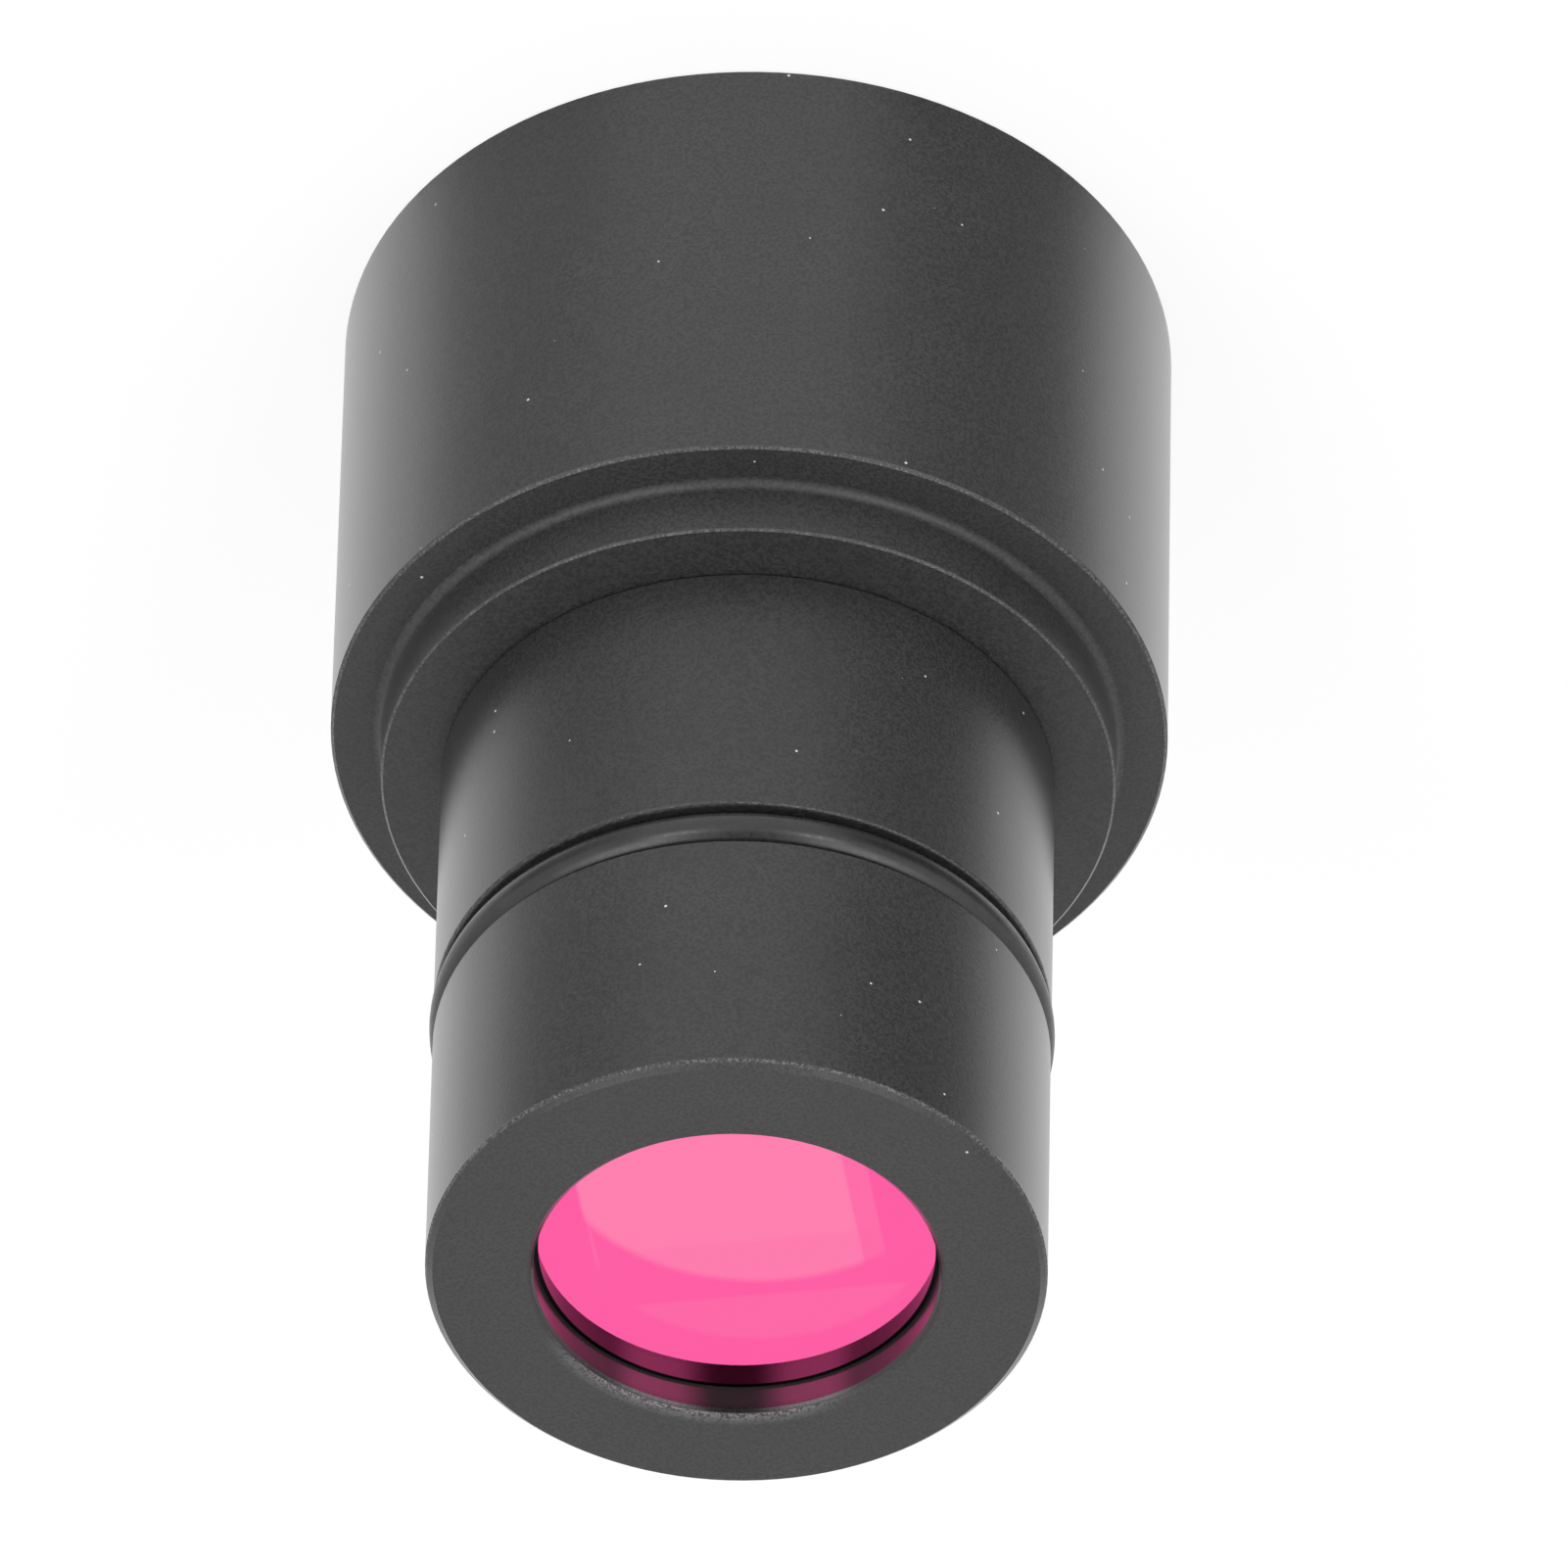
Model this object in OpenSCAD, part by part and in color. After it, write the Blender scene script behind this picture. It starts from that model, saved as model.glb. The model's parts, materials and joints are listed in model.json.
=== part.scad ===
// Guide camera: a short drum with two sockets on its back and a screwed-in 1.25 inch nose.
// The camera stands on its back. The optical axis is +Z, and z = 0 is the rear face.

/* [Body] */
// Outer diameter of the drum
body_d = 43.4; // [42:0.1:60]
// Length of the drum, from the rear face to the front ring
body_len = 27.4; // [26.5:0.1:40]
// Side wall of the drum
body_wall = 2.2; // [1.5:0.1:3]
// Thickness of the front wall behind the front ring
front_wall = 3; // [2:0.1:5]
// Chamfer on the two outer edges of the drum
rim_chamfer = 0.17; // [0.1:0.01:0.5]
// Diameter of the raised boss that the nose screws into
boss_d = 38.06; // [36:0.01:41]
// Height of the boss
boss_len = 3.3; // [2:0.1:6]
// Concave fillet at the foot of the boss
boss_fillet = 0.5; // [0.2:0.05:1]
// Chamfer on the edge of the boss
boss_chamfer = 0.13; // [0.1:0.01:0.5]

/* [Nose] */
// Length of the nose, from the boss to the tip
nose_len = 34.5; // [25:0.1:60]
// Length of the neck, from the boss to the groove
neck_len = 16.35; // [6:0.05:18]
// Chamfer at the foot of the neck
neck_chamfer = 0.2; // [0.1:0.01:1]
// Rounding of the neck's front edge
neck_round = 0.2; // [0.1:0.05:1]
// Diameter of the plain barrel
barrel_d = 31.7; // [28:0.01:35]
// How much wider the neck is than the barrel
neck_step = 0.05; // [0:0.01:1]
// Chamfer on the barrel's front edge
tip_chamfer = 0.38; // [0.1:0.01:1]
// Cord diameter of the nose O-ring
oring_cord = 2.2; // [1.2:0.1:3]
// How far the O-ring stands out of the barrel
oring_proud = 0.2; // [0.1:0.05:0.5]
// Free width in the groove beside the O-ring
groove_play = 0.46; // [0.2:0.02:1.5]

/* [Thread of the nose] */
// Root diameter of the nose thread, and tap diameter of the boss
thread_d = 24.3; // [23.5:0.05:27]
// Pitch of the thread
thread_pitch = 0.794; // [0.5:0.001:0.9]
// Turns of thread on the nose
thread_turns = 6.5; // [4:0.5:7]

/* [Filter] */
// Radial width of the lip in front of the glass
glass_lip = 0.45; // [0.3:0.05:1.5]
// Chamfer around the mouth of the bore
mouth_chamfer = 0.31; // [0.1:0.01:1]
// Depth of the glass behind the tip
glass_depth = 1.82; // [1:0.01:4]
// Diameter of the filter glass
glass_d = 21.6; // [16:0.1:22]
// Thickness of the filter glass
glass_t = 1.5; // [1:0.1:3]
// Chamfer around the glass
glass_chamfer = 0.15; // [0.05:0.05:0.3]
// Thickness of the retaining ring behind the glass
retainer_t = 2; // [1:0.1:4]
// Radial width of the retaining ring
retainer_w = 1.5; // [1:0.1:3]
// Width of the spanner slots in the retaining ring
spanner_slot = 1.2; // [0.8:0.1:2]

/* [Back plate] */
// Thickness of the back plate
plate_t = 2; // [1.5:0.1:3]
// Ledge in the drum that the back plate seats on
plate_ledge = 0.7; // [0.5:0.1:1.2]
// Chamfer around the back plate
plate_chamfer = 0.2; // [0.1:0.05:0.4]
// Distance of the plate screws from the edge of the recess
plate_screw_inset = 3; // [2.8:0.1:3.4]
// Radius of the pillars that the plate screws go into
pillar_r = 2.4; // [2:0.1:2.6]
// Length of those pillars
pillar_len = 5.6; // [4:0.1:8]
// Head radius of the countersunk plate screws
plate_screw_head_r = 2.3; // [2:0.05:2.5]
// How far the screw heads stand below the face of the plate
plate_screw_sink = 0.1; // [0.05:0.05:0.3]
// Shank radius of the plate screws
plate_screw_r = 1.25; // [1:0.05:1.3]
// Length of the plate screws
plate_screw_len = 6; // [5:0.5:7]

/* [Boards] */
// Gap between the boards and the side wall
board_edge_gap = 0.6; // [0.3:0.1:1.5]
// Thickness of the interface board
main_t = 1.6; // [1:0.1:2]
// Free space between the two boards
board_space = 3; // [3:0.1:4]
// Thickness of the sensor board
sensor_board_t = 1.2; // [0.8:0.1:1.6]
// Distance of the board screws from the edge of the boards
board_screw_inset = 2.7; // [2.4:0.1:3]
// Angle of the board screws from the X axis
board_screw_angle = 65; // [62:1:72]
// Shank radius of the board screws
board_screw_r = 1; // [0.8:0.05:1.2]
// Head radius of the board screws
board_screw_head_r = 1.9; // [1.6:0.05:2.2]
// Width across the flats of the hex standoffs
standoff_af = 4; // [3.5:0.1:4.5]
// Thread length that the screws and studs take hold of
board_grip = 2.2; // [1.5:0.1:2.3]

/* [Parts on the interface board] */
// Side of the square USB controller
controller_w = 8; // [6:0.1:9]
// Height of the USB controller
controller_h = 0.9; // [0.7:0.1:1.5]
// Width and depth of the memory chip
memory_size = [5, 4]; // [3:0.1:6]
// Height of the memory chip
memory_h = 0.8; // [0.6:0.1:1.5]
// Width and depth of the crystal's base
crystal_size = [3.2, 2.5]; // [2:0.1:4]
// Width and depth of one opto-coupler
optocoupler_size = [2.6, 3.6]; // [2:0.1:4]
// Height of the opto-couplers
optocoupler_h = 2; // [1.5:0.1:3]
// Distance between neighbouring opto-couplers
optocoupler_pitch = 4.2; // [3.5:0.1:5]
// Width and depth of the voltage regulator
regulator_size = [3, 1.7]; // [1.5:0.1:4]
// Height of the voltage regulator
regulator_h = 1.1; // [0.8:0.1:2]
// Base width of the can capacitors
capacitor_w = 4.3; // [3.5:0.1:5]
// Height of the can capacitors
capacitor_h = 5.4; // [4:0.1:7]
// Distance of the can capacitors from the middle
capacitor_x = 5.2; // [4.5:0.1:6]
// Pin pitch of the board-to-board header
header_pitch = 1.27; // [1:0.01:1.4]
// Pins in each row of the header
header_pins = 10; // [6:1:10]

/* [Sensor] */
// Side of the square sensor package
package_w = 11.4; // [9:0.1:13]
// Height of the package body
package_h = 1; // [0.8:0.1:1.4]
// Width and height of the light-sensitive die
die_size = [5.6, 4.4]; // [3:0.1:8]
// Thickness of the die
die_t = 0.35; // [0.2:0.05:0.5]
// Thickness of the sensor's cover glass
cover_t = 0.5; // [0.3:0.1:0.8]
// Outer diameter of the foam light gasket
gasket_d = 27; // [26:0.1:27.6]

/* [USB socket] */
// Outer width and height of the USB socket
usb_size = [12, 10.9]; // [9:0.1:14]
// Width and height of its mouth
usb_mouth = [8.45, 7.78]; // [7:0.01:9.4]
// Corner cut of the mouth
usb_corner = 1.6; // [1:0.1:2]
// Depth of the mouth
usb_depth = 9.5; // [8:0.1:11]
// Thickness of the socket's sheet metal
usb_sheet = 0.35; // [0.3:0.05:0.5]
// Width and height of the tongue
usb_tongue = [5.6, 3.2]; // [3:0.1:6]
// How far the tongue stands back from the mouth
usb_tongue_back = 2; // [1:0.1:3]

/* [Guide port jack] */
// Outer width and height of the jack
jack_size = [13.2, 13.4]; // [11:0.1:14]
// Width and height of the cavity for the plug
jack_mouth = [9.9, 6.9]; // [6:0.1:10.4]
// Depth of the cavity
jack_depth = 12.5; // [10:0.1:14]
// Width and height of the latch channel's wide step
latch_wide = [6.2, 1.3]; // [1:0.1:7]
// Width and height of the latch channel's narrow step
latch_narrow = [3.4, 1.5]; // [1:0.1:5]
// Distance between neighbouring contacts
jack_pitch = 1.02; // [1:0.01:1.1]

/* [Sockets and fits] */
// Free width between the two sockets
socket_gap = 2.4; // [2:0.1:3]
// Length of both sockets, from mouth to board
socket_len = 15.9; // [15:0.1:17]
// How far the sockets stand back from the rear face
socket_sink = 0.3; // [0.1:0.1:1]
// Gap around the sockets in the back plate
cutout_gap = 0.1; // [0.05:0.05:0.3]
// Radial clearance of every round fit
fit = 0.05; // [0.02:0.01:0.08]

/* [Hidden] */
$fn = 128;

// Overlap of a cutting shape past the face that it cuts
over = 1;
// Overlap of two shapes that make up one piece
merge = 0.25;
// Width of a screw's cross recess, as a share of its head's radius
recess_share = 1.15;
black_metal = [0.09, 0.09, 0.1];
board_green = [0.04, 0.22, 0.12];
chip_black = [0.06, 0.06, 0.07];
bright_metal = [0.72, 0.72, 0.74];
contact_gold = [0.85, 0.65, 0.25];

// Heights, from the rear face to the tip
z_main = socket_sink + socket_len;
z_main_top = z_main + main_t;
z_sensor_board = z_main_top + board_space;
z_sensor = z_sensor_board + sensor_board_t;
z_cavity = body_len - front_wall;
z_boss = body_len + boss_len;
z_stub = z_boss - thread_turns * thread_pitch;
z_groove = z_boss + neck_len;
groove_w = oring_cord + groove_play;
z_barrel = z_groove + groove_w;
z_tip = z_boss + nose_len;
z_glass = z_tip - glass_depth;
z_retainer = z_glass - glass_t - retainer_t;

// Radii
body_r = body_d / 2;
cavity_r = body_r - body_wall;
recess_r = cavity_r + plate_ledge;
boss_r = boss_d / 2;
barrel_r = barrel_d / 2;
neck_r = barrel_r + neck_step / 2;
stub_r = thread_d / 2;
thread_bore_r = stub_r + fit;
oring_r = barrel_r + oring_proud - oring_cord / 2;
groove_r = oring_r - oring_cord / 2 - fit;
glass_r = glass_d / 2;
tube_r = glass_r + fit;
board_r = cavity_r - board_edge_gap;

// Places of the screws, one per quarter
plate_screw_at = recess_r - plate_screw_inset;
board_screw_at = board_r - board_screw_inset;
plate_screw_angles = [45, 135, 225, 315];
board_screw_angles = [board_screw_angle, 180 - board_screw_angle,
                      180 + board_screw_angle, 360 - board_screw_angle];

// Places of the two sockets: side by side, with the gap between them on the axis
usb_x = -(socket_gap + usb_size[0]) / 2;
jack_x = (socket_gap + jack_size[0]) / 2;
// The plug's cavity and the latch channel together are centred in the jack
latch_h = latch_wide[1] + latch_narrow[1];
cavity_y = -latch_h / 2;

// Parts on the interface board: the chips on its front, the taller parts on its back
controller_at = [0, -9];
memory_at = [-8.2, -7];
crystal_at = [2.2, -3];
part_row_y = 9.9;

// Board-to-board header, a socket on one board and its pins on the other
header_y = 9.6;
header_ends = 1.5;
header_w = 3.2;
header_size = [(header_pins - 1) * header_pitch + header_ends, header_w];
header_pin_w = 0.4;
pin_foot = 0.5;
// Share of the space between the boards that the socket takes
socket_share = 0.6;
z_header = z_main_top + socket_share * board_space;

// Places of the legs of the two sockets
usb_pitch = 2.5;
usb_leg_r = 0.4;
usb_leg_rows = [-2, 2];
usb_leg_places = [for (side = [-1, 1], y = usb_leg_rows) [usb_x + side * usb_pitch / 2, y]];
jack_leg_r = 0.35;
jack_leg_rows = [-4.6, -2.06];
jack_wires = 6;
jack_wire_xs = [for (i = [0:jack_wires - 1]) jack_x + (i - (jack_wires - 1) / 2) * jack_pitch];
jack_leg_places = [for (i = [0:jack_wires - 1]) [jack_wire_xs[i], jack_leg_rows[i % 2]]];

// ---- shared shapes ----

// One corner of a turned profile, at radius r and height z, cut by c towards height z + side * c
function corner(r, z, c, side) = side > 0 ? [[r - c, z], [r, z + c]] : [[r, z - c], [r - c, z]];

// A disc with both edges chamfered, standing on z = 0
module chamfered_disc(r, h, low, high) {
    rotate_extrude()
        polygon(concat([[0, 0]], corner(r, 0, low, 1), corner(r, h, high, -1), [[0, h]]));
}

// A straight hole or pin from z0 to z1
module bar(r, z0, z1) {
    translate([0, 0, z0]) cylinder(r = r, h = z1 - z0);
}

// A box centred in X and Y, from z0 to z1
module block(size, z0, z1) {
    translate([-size[0] / 2, -size[1] / 2, z0]) cube([size[0], size[1], z1 - z0]);
}

// Children repeated at radius r and at each angle
module at_angles(angles, r) {
    for (a = angles) rotate(a) translate([r, 0, 0]) children();
}

// Cross-shaped driver recess, cut from z0 to z1
module cross_recess(w, z0, z1) {
    slot = w / 4;
    for (a = [0, 90]) rotate(a) block([w, slot], z0, z1);
}

// Mouth of the USB socket: a rectangle with its two upper corners cut
module usb_outline(grow) {
    w = usb_mouth[0] / 2 + grow;
    h = usb_mouth[1] / 2 + grow;
    polygon([[-w, -h], [w, -h], [w, h - usb_corner], [w - usb_corner, h],
             [-w + usb_corner, h], [-w, h - usb_corner]]);
}

// Outline of both boards: a disc with a notch for each pillar
module board_outline() {
    notch_gap = 0.6;
    difference() {
        circle(r = board_r);
        at_angles(plate_screw_angles, plate_screw_at) circle(r = pillar_r + notch_gap);
    }
}

// ---- body ----

module drum() {
    chamfered_disc(body_r, body_len, rim_chamfer, rim_chamfer);
    translate([0, 0, body_len - over]) chamfered_disc(boss_r, boss_len + over, merge, boss_chamfer);
    rotate_extrude() difference() {
        translate([boss_r - over, body_len - over]) square(boss_fillet + over);
        translate([boss_r + boss_fillet, body_len + boss_fillet]) circle(r = boss_fillet);
    }
}

module pillars() {
    intersection() {
        at_angles(plate_screw_angles, plate_screw_at) {
            bar(pillar_r, plate_t, plate_t + pillar_len);
            translate([0, -pillar_r, plate_t]) cube([pillar_r + over, 2 * pillar_r, pillar_len]);
        }
        bar(recess_r, plate_t, plate_t + pillar_len);
    }
}

module board_posts() {
    post_rim = 0.2;
    post_r = standoff_af / 2 + post_rim;
    at_angles(board_screw_angles, board_screw_at) bar(post_r, z_sensor, z_cavity + over);
}

module body_shell() {
    hole_over = 0.6;
    color(black_metal) difference() {
        union() {
            difference() {
                drum();
                bar(recess_r, -over, plate_t);
                bar(cavity_r, 0, z_cavity);
                bar(thread_bore_r, 0, z_boss + over);
            }
            pillars();
            board_posts();
        }
        at_angles(plate_screw_angles, plate_screw_at)
            bar(plate_screw_r + fit, -over, plate_screw_len + hole_over);
        at_angles(board_screw_angles, board_screw_at)
            bar(board_screw_r + fit, z_sensor - over, z_sensor + board_grip + hole_over);
    }
}

// Countersunk cone of a plate screw, grown by extra
module screw_cone(extra) {
    translate([0, 0, plate_screw_sink])
        cylinder(r1 = plate_screw_head_r + extra, r2 = plate_screw_r + extra,
                 h = plate_screw_head_r - plate_screw_r);
}

module back_plate() {
    grow = 2 * [cutout_gap, cutout_gap];
    color(black_metal) difference() {
        chamfered_disc(recess_r - fit, plate_t, plate_chamfer, plate_chamfer);
        translate([usb_x, 0, 0]) block(usb_size + grow, -over, plate_t + over);
        translate([jack_x, 0, 0]) block(jack_size + grow, -over, plate_t + over);
        at_angles(plate_screw_angles, plate_screw_at) {
            bar(plate_screw_head_r + fit, -over, plate_screw_sink);
            screw_cone(fit);
            bar(plate_screw_r + fit, 0, plate_t + over);
        }
    }
}

module plate_screws() {
    recess_depth = 0.9;
    color(black_metal) at_angles(plate_screw_angles, plate_screw_at) difference() {
        union() {
            screw_cone(0);
            bar(plate_screw_r, plate_screw_sink + merge, plate_screw_len);
        }
        cross_recess(recess_share * plate_screw_head_r, 0, plate_screw_sink + recess_depth);
    }
}

// ---- boards and what they carry ----

module board_screw_holes() {
    at_angles(board_screw_angles, board_screw_at) circle(r = board_screw_r + 2 * fit);
}

// Legs that go through the interface board at these places
module legs(places, r) {
    leg_out = 0.6;
    for (p = places) translate(p) bar(r, z_main, z_main_top + leg_out);
}

// The two shield tabs of the USB socket that go through the interface board, grown by extra
module usb_tabs(extra) {
    tab_w = 2;
    tab_out = 0.6;
    for (side = [-1, 1])
        translate([usb_x + side * (usb_size[0] - usb_sheet) / 2, 0, 0])
            block([usb_sheet + 2 * extra, tab_w + 2 * extra], z_main - over, z_main_top + tab_out);
}

module main_board() {
    hole_gap = 0.1;
    color(board_green) difference() {
        translate([0, 0, z_main]) linear_extrude(main_t) difference() {
            board_outline();
            board_screw_holes();
            for (p = usb_leg_places) translate(p) circle(r = usb_leg_r + hole_gap);
            for (p = jack_leg_places) translate(p) circle(r = jack_leg_r + hole_gap);
        }
        usb_tabs(hole_gap);
    }
}

// A flat chip with a round pin-one dimple, standing on the front of the interface board
module chip(size, h) {
    dimple_r = 0.3;
    dimple_depth = 0.08;
    dimple_in = 0.8;
    z_top = z_main_top + h;
    difference() {
        block(size, z_main_top, z_top);
        translate([dimple_in - size[0] / 2, size[1] / 2 - dimple_in, 0])
            bar(dimple_r, z_top - dimple_depth, z_top + over);
    }
}

module usb_controller() {
    color(chip_black) translate(controller_at) chip([controller_w, controller_w], controller_h);
}

module memory_chip() {
    color(chip_black) translate(memory_at) chip(memory_size, memory_h);
}

module clock_crystal() {
    base_h = 0.6;
    lid_h = 0.8;
    lid_inset = 0.25;
    lid = crystal_size - 2 * [lid_inset, lid_inset];
    color(bright_metal) translate(crystal_at) {
        block(crystal_size, z_main_top, z_main_top + base_h);
        block(lid, z_main_top, z_main_top + lid_h);
    }
}

// A part hanging under the interface board, with a row of bent leads on its two long sides
module leaded_part(size, h, leads, pitch) {
    lead_w = 0.4;
    lead_t = 0.2;
    foot = 0.8;
    bury = 0.15;
    lift = 0.15;
    z_top = z_main - lift;
    block(size, z_top - h, z_top);
    for (i = [0:leads - 1], side = [-1, 1])
        translate([(i - (leads - 1) / 2) * pitch, side * size[1] / 2, 0]) {
            translate([0, side * (foot - bury) / 2, 0])
                block([lead_w, foot + bury], z_main - lead_t, z_main);
            block([lead_w, 2 * bury], z_top - h / 2, z_main);
        }
}

module guide_optocouplers() {
    count = 4;
    leads = 2;
    lead_pitch = 1.27;
    color(chip_black) for (i = [0:count - 1])
        translate([(i - (count - 1) / 2) * optocoupler_pitch, part_row_y, 0])
            leaded_part(optocoupler_size, optocoupler_h, leads, lead_pitch);
}

module voltage_regulator() {
    leads = 3;
    lead_pitch = 0.95;
    color(chip_black) translate([0, -part_row_y, 0])
        leaded_part(regulator_size, regulator_h, leads, lead_pitch);
}

module filter_capacitors() {
    base_h = 0.8;
    can_inset = 0.15;
    can_r = capacitor_w / 2 - can_inset;
    color(bright_metal) for (side = [-1, 1]) translate([side * capacitor_x, -part_row_y, 0]) {
        block([capacitor_w, capacitor_w], z_main - base_h, z_main);
        bar(can_r, z_main - capacitor_h, z_main - base_h / 2);
    }
}

// Square pins of the header or the holes for them, from z0 to z1
module pin_rows(w, z0, z1) {
    for (i = [0:header_pins - 1], side = [-1, 1])
        translate([(i - (header_pins - 1) / 2) * header_pitch, side * header_pitch / 2, 0])
            block([w, w], z0, z1);
}

module board_socket() {
    pin_gap = 0.08;
    hole_w = header_pin_w + 2 * pin_gap;
    color(chip_black) translate([0, header_y, 0]) difference() {
        block(header_size, z_main_top, z_header);
        pin_rows(hole_w, z_main_top + pin_foot / 2, z_header + over);
    }
}

module board_header() {
    color(chip_black) translate([0, header_y, 0]) {
        block(header_size, z_header, z_sensor_board);
        pin_rows(header_pin_w, z_main_top + pin_foot, z_header + merge);
    }
}

module board_screws() {
    head_h = 1.3;
    recess_depth = 0.8;
    color(bright_metal) at_angles(board_screw_angles, board_screw_at) difference() {
        union() {
            bar(board_screw_head_r, z_main - head_h, z_main);
            bar(board_screw_r, z_main - head_h / 2, z_main_top + board_grip);
        }
        cross_recess(recess_share * board_screw_head_r, z_main - head_h - over, z_main - head_h + recess_depth);
    }
}

module board_standoffs() {
    hex_r = standoff_af / sqrt(3);
    hole_over = 0.2;
    color(contact_gold) at_angles(board_screw_angles, board_screw_at) difference() {
        union() {
            translate([0, 0, z_main_top]) cylinder(r = hex_r, h = board_space, $fn = 6);
            bar(board_screw_r, z_sensor_board - merge, z_sensor + board_grip);
        }
        bar(board_screw_r + fit, z_main_top - over, z_main_top + board_grip + hole_over);
    }
}

module sensor_board() {
    color(board_green) translate([0, 0, z_sensor_board]) linear_extrude(sensor_board_t) difference() {
        board_outline();
        board_screw_holes();
    }
}

package_rim = 1;
package_floor = 0.4;

module sensor_package() {
    inside = package_w - 2 * package_rim;
    color("tan") difference() {
        block([package_w, package_w], z_sensor, z_sensor + package_h);
        block([inside, inside], z_sensor + package_floor, z_sensor + package_h + over);
    }
}

module sensor_die() {
    color("darkslateblue") block(die_size, z_sensor + package_floor, z_sensor + package_floor + die_t);
}

module sensor_cover_glass() {
    glass_inset = 0.4;
    side = package_w - 2 * glass_inset;
    z0 = z_sensor + package_h;
    color("lightblue", 0.4) block([side, side], z0, z0 + cover_t);
}

module light_gasket() {
    gasket_gap = 0.4;
    hole = package_w + 2 * gasket_gap;
    color(chip_black) difference() {
        bar(gasket_d / 2, z_sensor, z_cavity);
        block([hole, hole], z_sensor - over, z_cavity + over);
    }
}

// ---- USB socket ----

module usb_shell() {
    inside = usb_size - 2 * [usb_sheet, usb_sheet];
    color(bright_metal) {
        translate([usb_x, 0, 0]) difference() {
            block(usb_size, socket_sink, z_main);
            difference() {
                block(inside, socket_sink + usb_sheet, z_main + over);
                translate([0, 0, socket_sink]) linear_extrude(usb_depth) usb_outline(usb_sheet);
            }
            translate([0, 0, socket_sink - over]) linear_extrude(usb_depth + 2 * over) usb_outline(0);
        }
        usb_tabs(0);
    }
}

module usb_insulator() {
    slack = 2 * (usb_sheet + fit);
    body = usb_size - [slack, slack];
    z_base = socket_sink + usb_depth;
    color("white") translate([usb_x, 0, 0]) {
        block(body, z_base, z_main);
        block(usb_tongue, socket_sink + usb_tongue_back, z_base + merge);
    }
}

module usb_contacts() {
    strip = [1, 0.25];
    start_back = 0.6;
    z_base = socket_sink + usb_depth;
    color(contact_gold) {
        for (x = [-usb_pitch / 2, usb_pitch / 2], side = [-1, 1])
            translate([usb_x + x, side * (usb_tongue[1] + strip[1]) / 2, 0])
                block(strip, socket_sink + usb_tongue_back + start_back, z_base);
        legs(usb_leg_places, usb_leg_r);
    }
}

// ---- guide port jack ----

module jack_cavity() {
    low = cavity_y - jack_mouth[1] / 2;
    top = cavity_y + jack_mouth[1] / 2;
    w = jack_mouth[0];
    s0 = latch_wide;
    s1 = latch_narrow;
    polygon([[-w / 2, low], [w / 2, low], [w / 2, top], [s0[0] / 2, top], [s0[0] / 2, top + s0[1]],
             [s1[0] / 2, top + s0[1]], [s1[0] / 2, top + latch_h], [-s1[0] / 2, top + latch_h],
             [-s1[0] / 2, top + s0[1]], [-s0[0] / 2, top + s0[1]], [-s0[0] / 2, top], [-w / 2, top]]);
}

module jack_housing() {
    color(chip_black) translate([jack_x, 0, 0]) difference() {
        block(jack_size, socket_sink, z_main);
        translate([0, 0, socket_sink - over]) linear_extrude(jack_depth + over) jack_cavity();
    }
}

// Six sprung wires that rise from the floor of the cavity, and their legs
module jack_contacts() {
    wire = 0.4;
    wire_len = 7;
    wire_slope = 14;
    start = 2.2;
    wall_y = cavity_y - jack_mouth[1] / 2;
    color(contact_gold) {
        for (x = jack_wire_xs)
            translate([x, wall_y, socket_sink + start])
                rotate([-wire_slope, 0, 0])
                translate([-wire / 2, 0, 0]) cube([wire, wire, wire_len]);
        legs(jack_leg_places, jack_leg_r);
    }
}

// ---- nose ----

module nose_outline() {
    difference() {
        polygon([[0, z_stub], [stub_r, z_stub], [stub_r, z_boss], [neck_r - neck_chamfer, z_boss],
                 [neck_r, z_boss + neck_chamfer], [neck_r, z_groove], [groove_r, z_groove],
                 [groove_r, z_barrel], [barrel_r, z_barrel], [barrel_r, z_tip - tip_chamfer],
                 [barrel_r - tip_chamfer, z_tip], [0, z_tip]]);
        difference() {
            translate([neck_r - neck_round, z_groove - neck_round]) square(neck_round + over);
            translate([neck_r - neck_round, z_groove - neck_round]) circle(r = neck_round);
        }
    }
}

module nose_bore() {
    bore_r = glass_r - glass_lip;
    polygon([[0, z_stub - over], [tube_r, z_stub - over], [tube_r, z_glass], [bore_r, z_glass],
             [bore_r, z_tip - mouth_chamfer], [bore_r + mouth_chamfer, z_tip],
             [bore_r + mouth_chamfer, z_tip + over], [0, z_tip + over]]);
}

module nose_tube() {
    color(black_metal) rotate_extrude() difference() {
        nose_outline();
        nose_bore();
    }
}

module nose_oring() {
    color(chip_black) translate([0, 0, z_groove + groove_w / 2])
        rotate_extrude() translate([oring_r, 0]) circle(d = oring_cord);
}

module filter_glass() {
    color("deeppink") translate([0, 0, z_glass - glass_t])
        chamfered_disc(glass_r, glass_t, glass_chamfer, glass_chamfer);
}

module filter_retainer() {
    slot_depth = retainer_t / 2;
    color(black_metal) difference() {
        bar(glass_r, z_retainer, z_retainer + retainer_t);
        bar(glass_r - retainer_w, z_retainer - over, z_retainer + retainer_t + over);
        block([2 * glass_r + over, spanner_slot], z_retainer - over, z_retainer + slot_depth);
    }
}

body_shell();
back_plate();
plate_screws();
main_board();
usb_controller();
memory_chip();
clock_crystal();
voltage_regulator();
guide_optocouplers();
filter_capacitors();
board_socket();
board_header();
board_screws();
board_standoffs();
sensor_board();
sensor_package();
sensor_die();
sensor_cover_glass();
light_gasket();
usb_shell();
usb_insulator();
usb_contacts();
jack_housing();
jack_contacts();
nose_oring();
nose_tube();
filter_glass();
filter_retainer();
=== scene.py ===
"""A guide camera standing nose up on a pale floor, with a pink filter window in its nose."""

import json
import math

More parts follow.
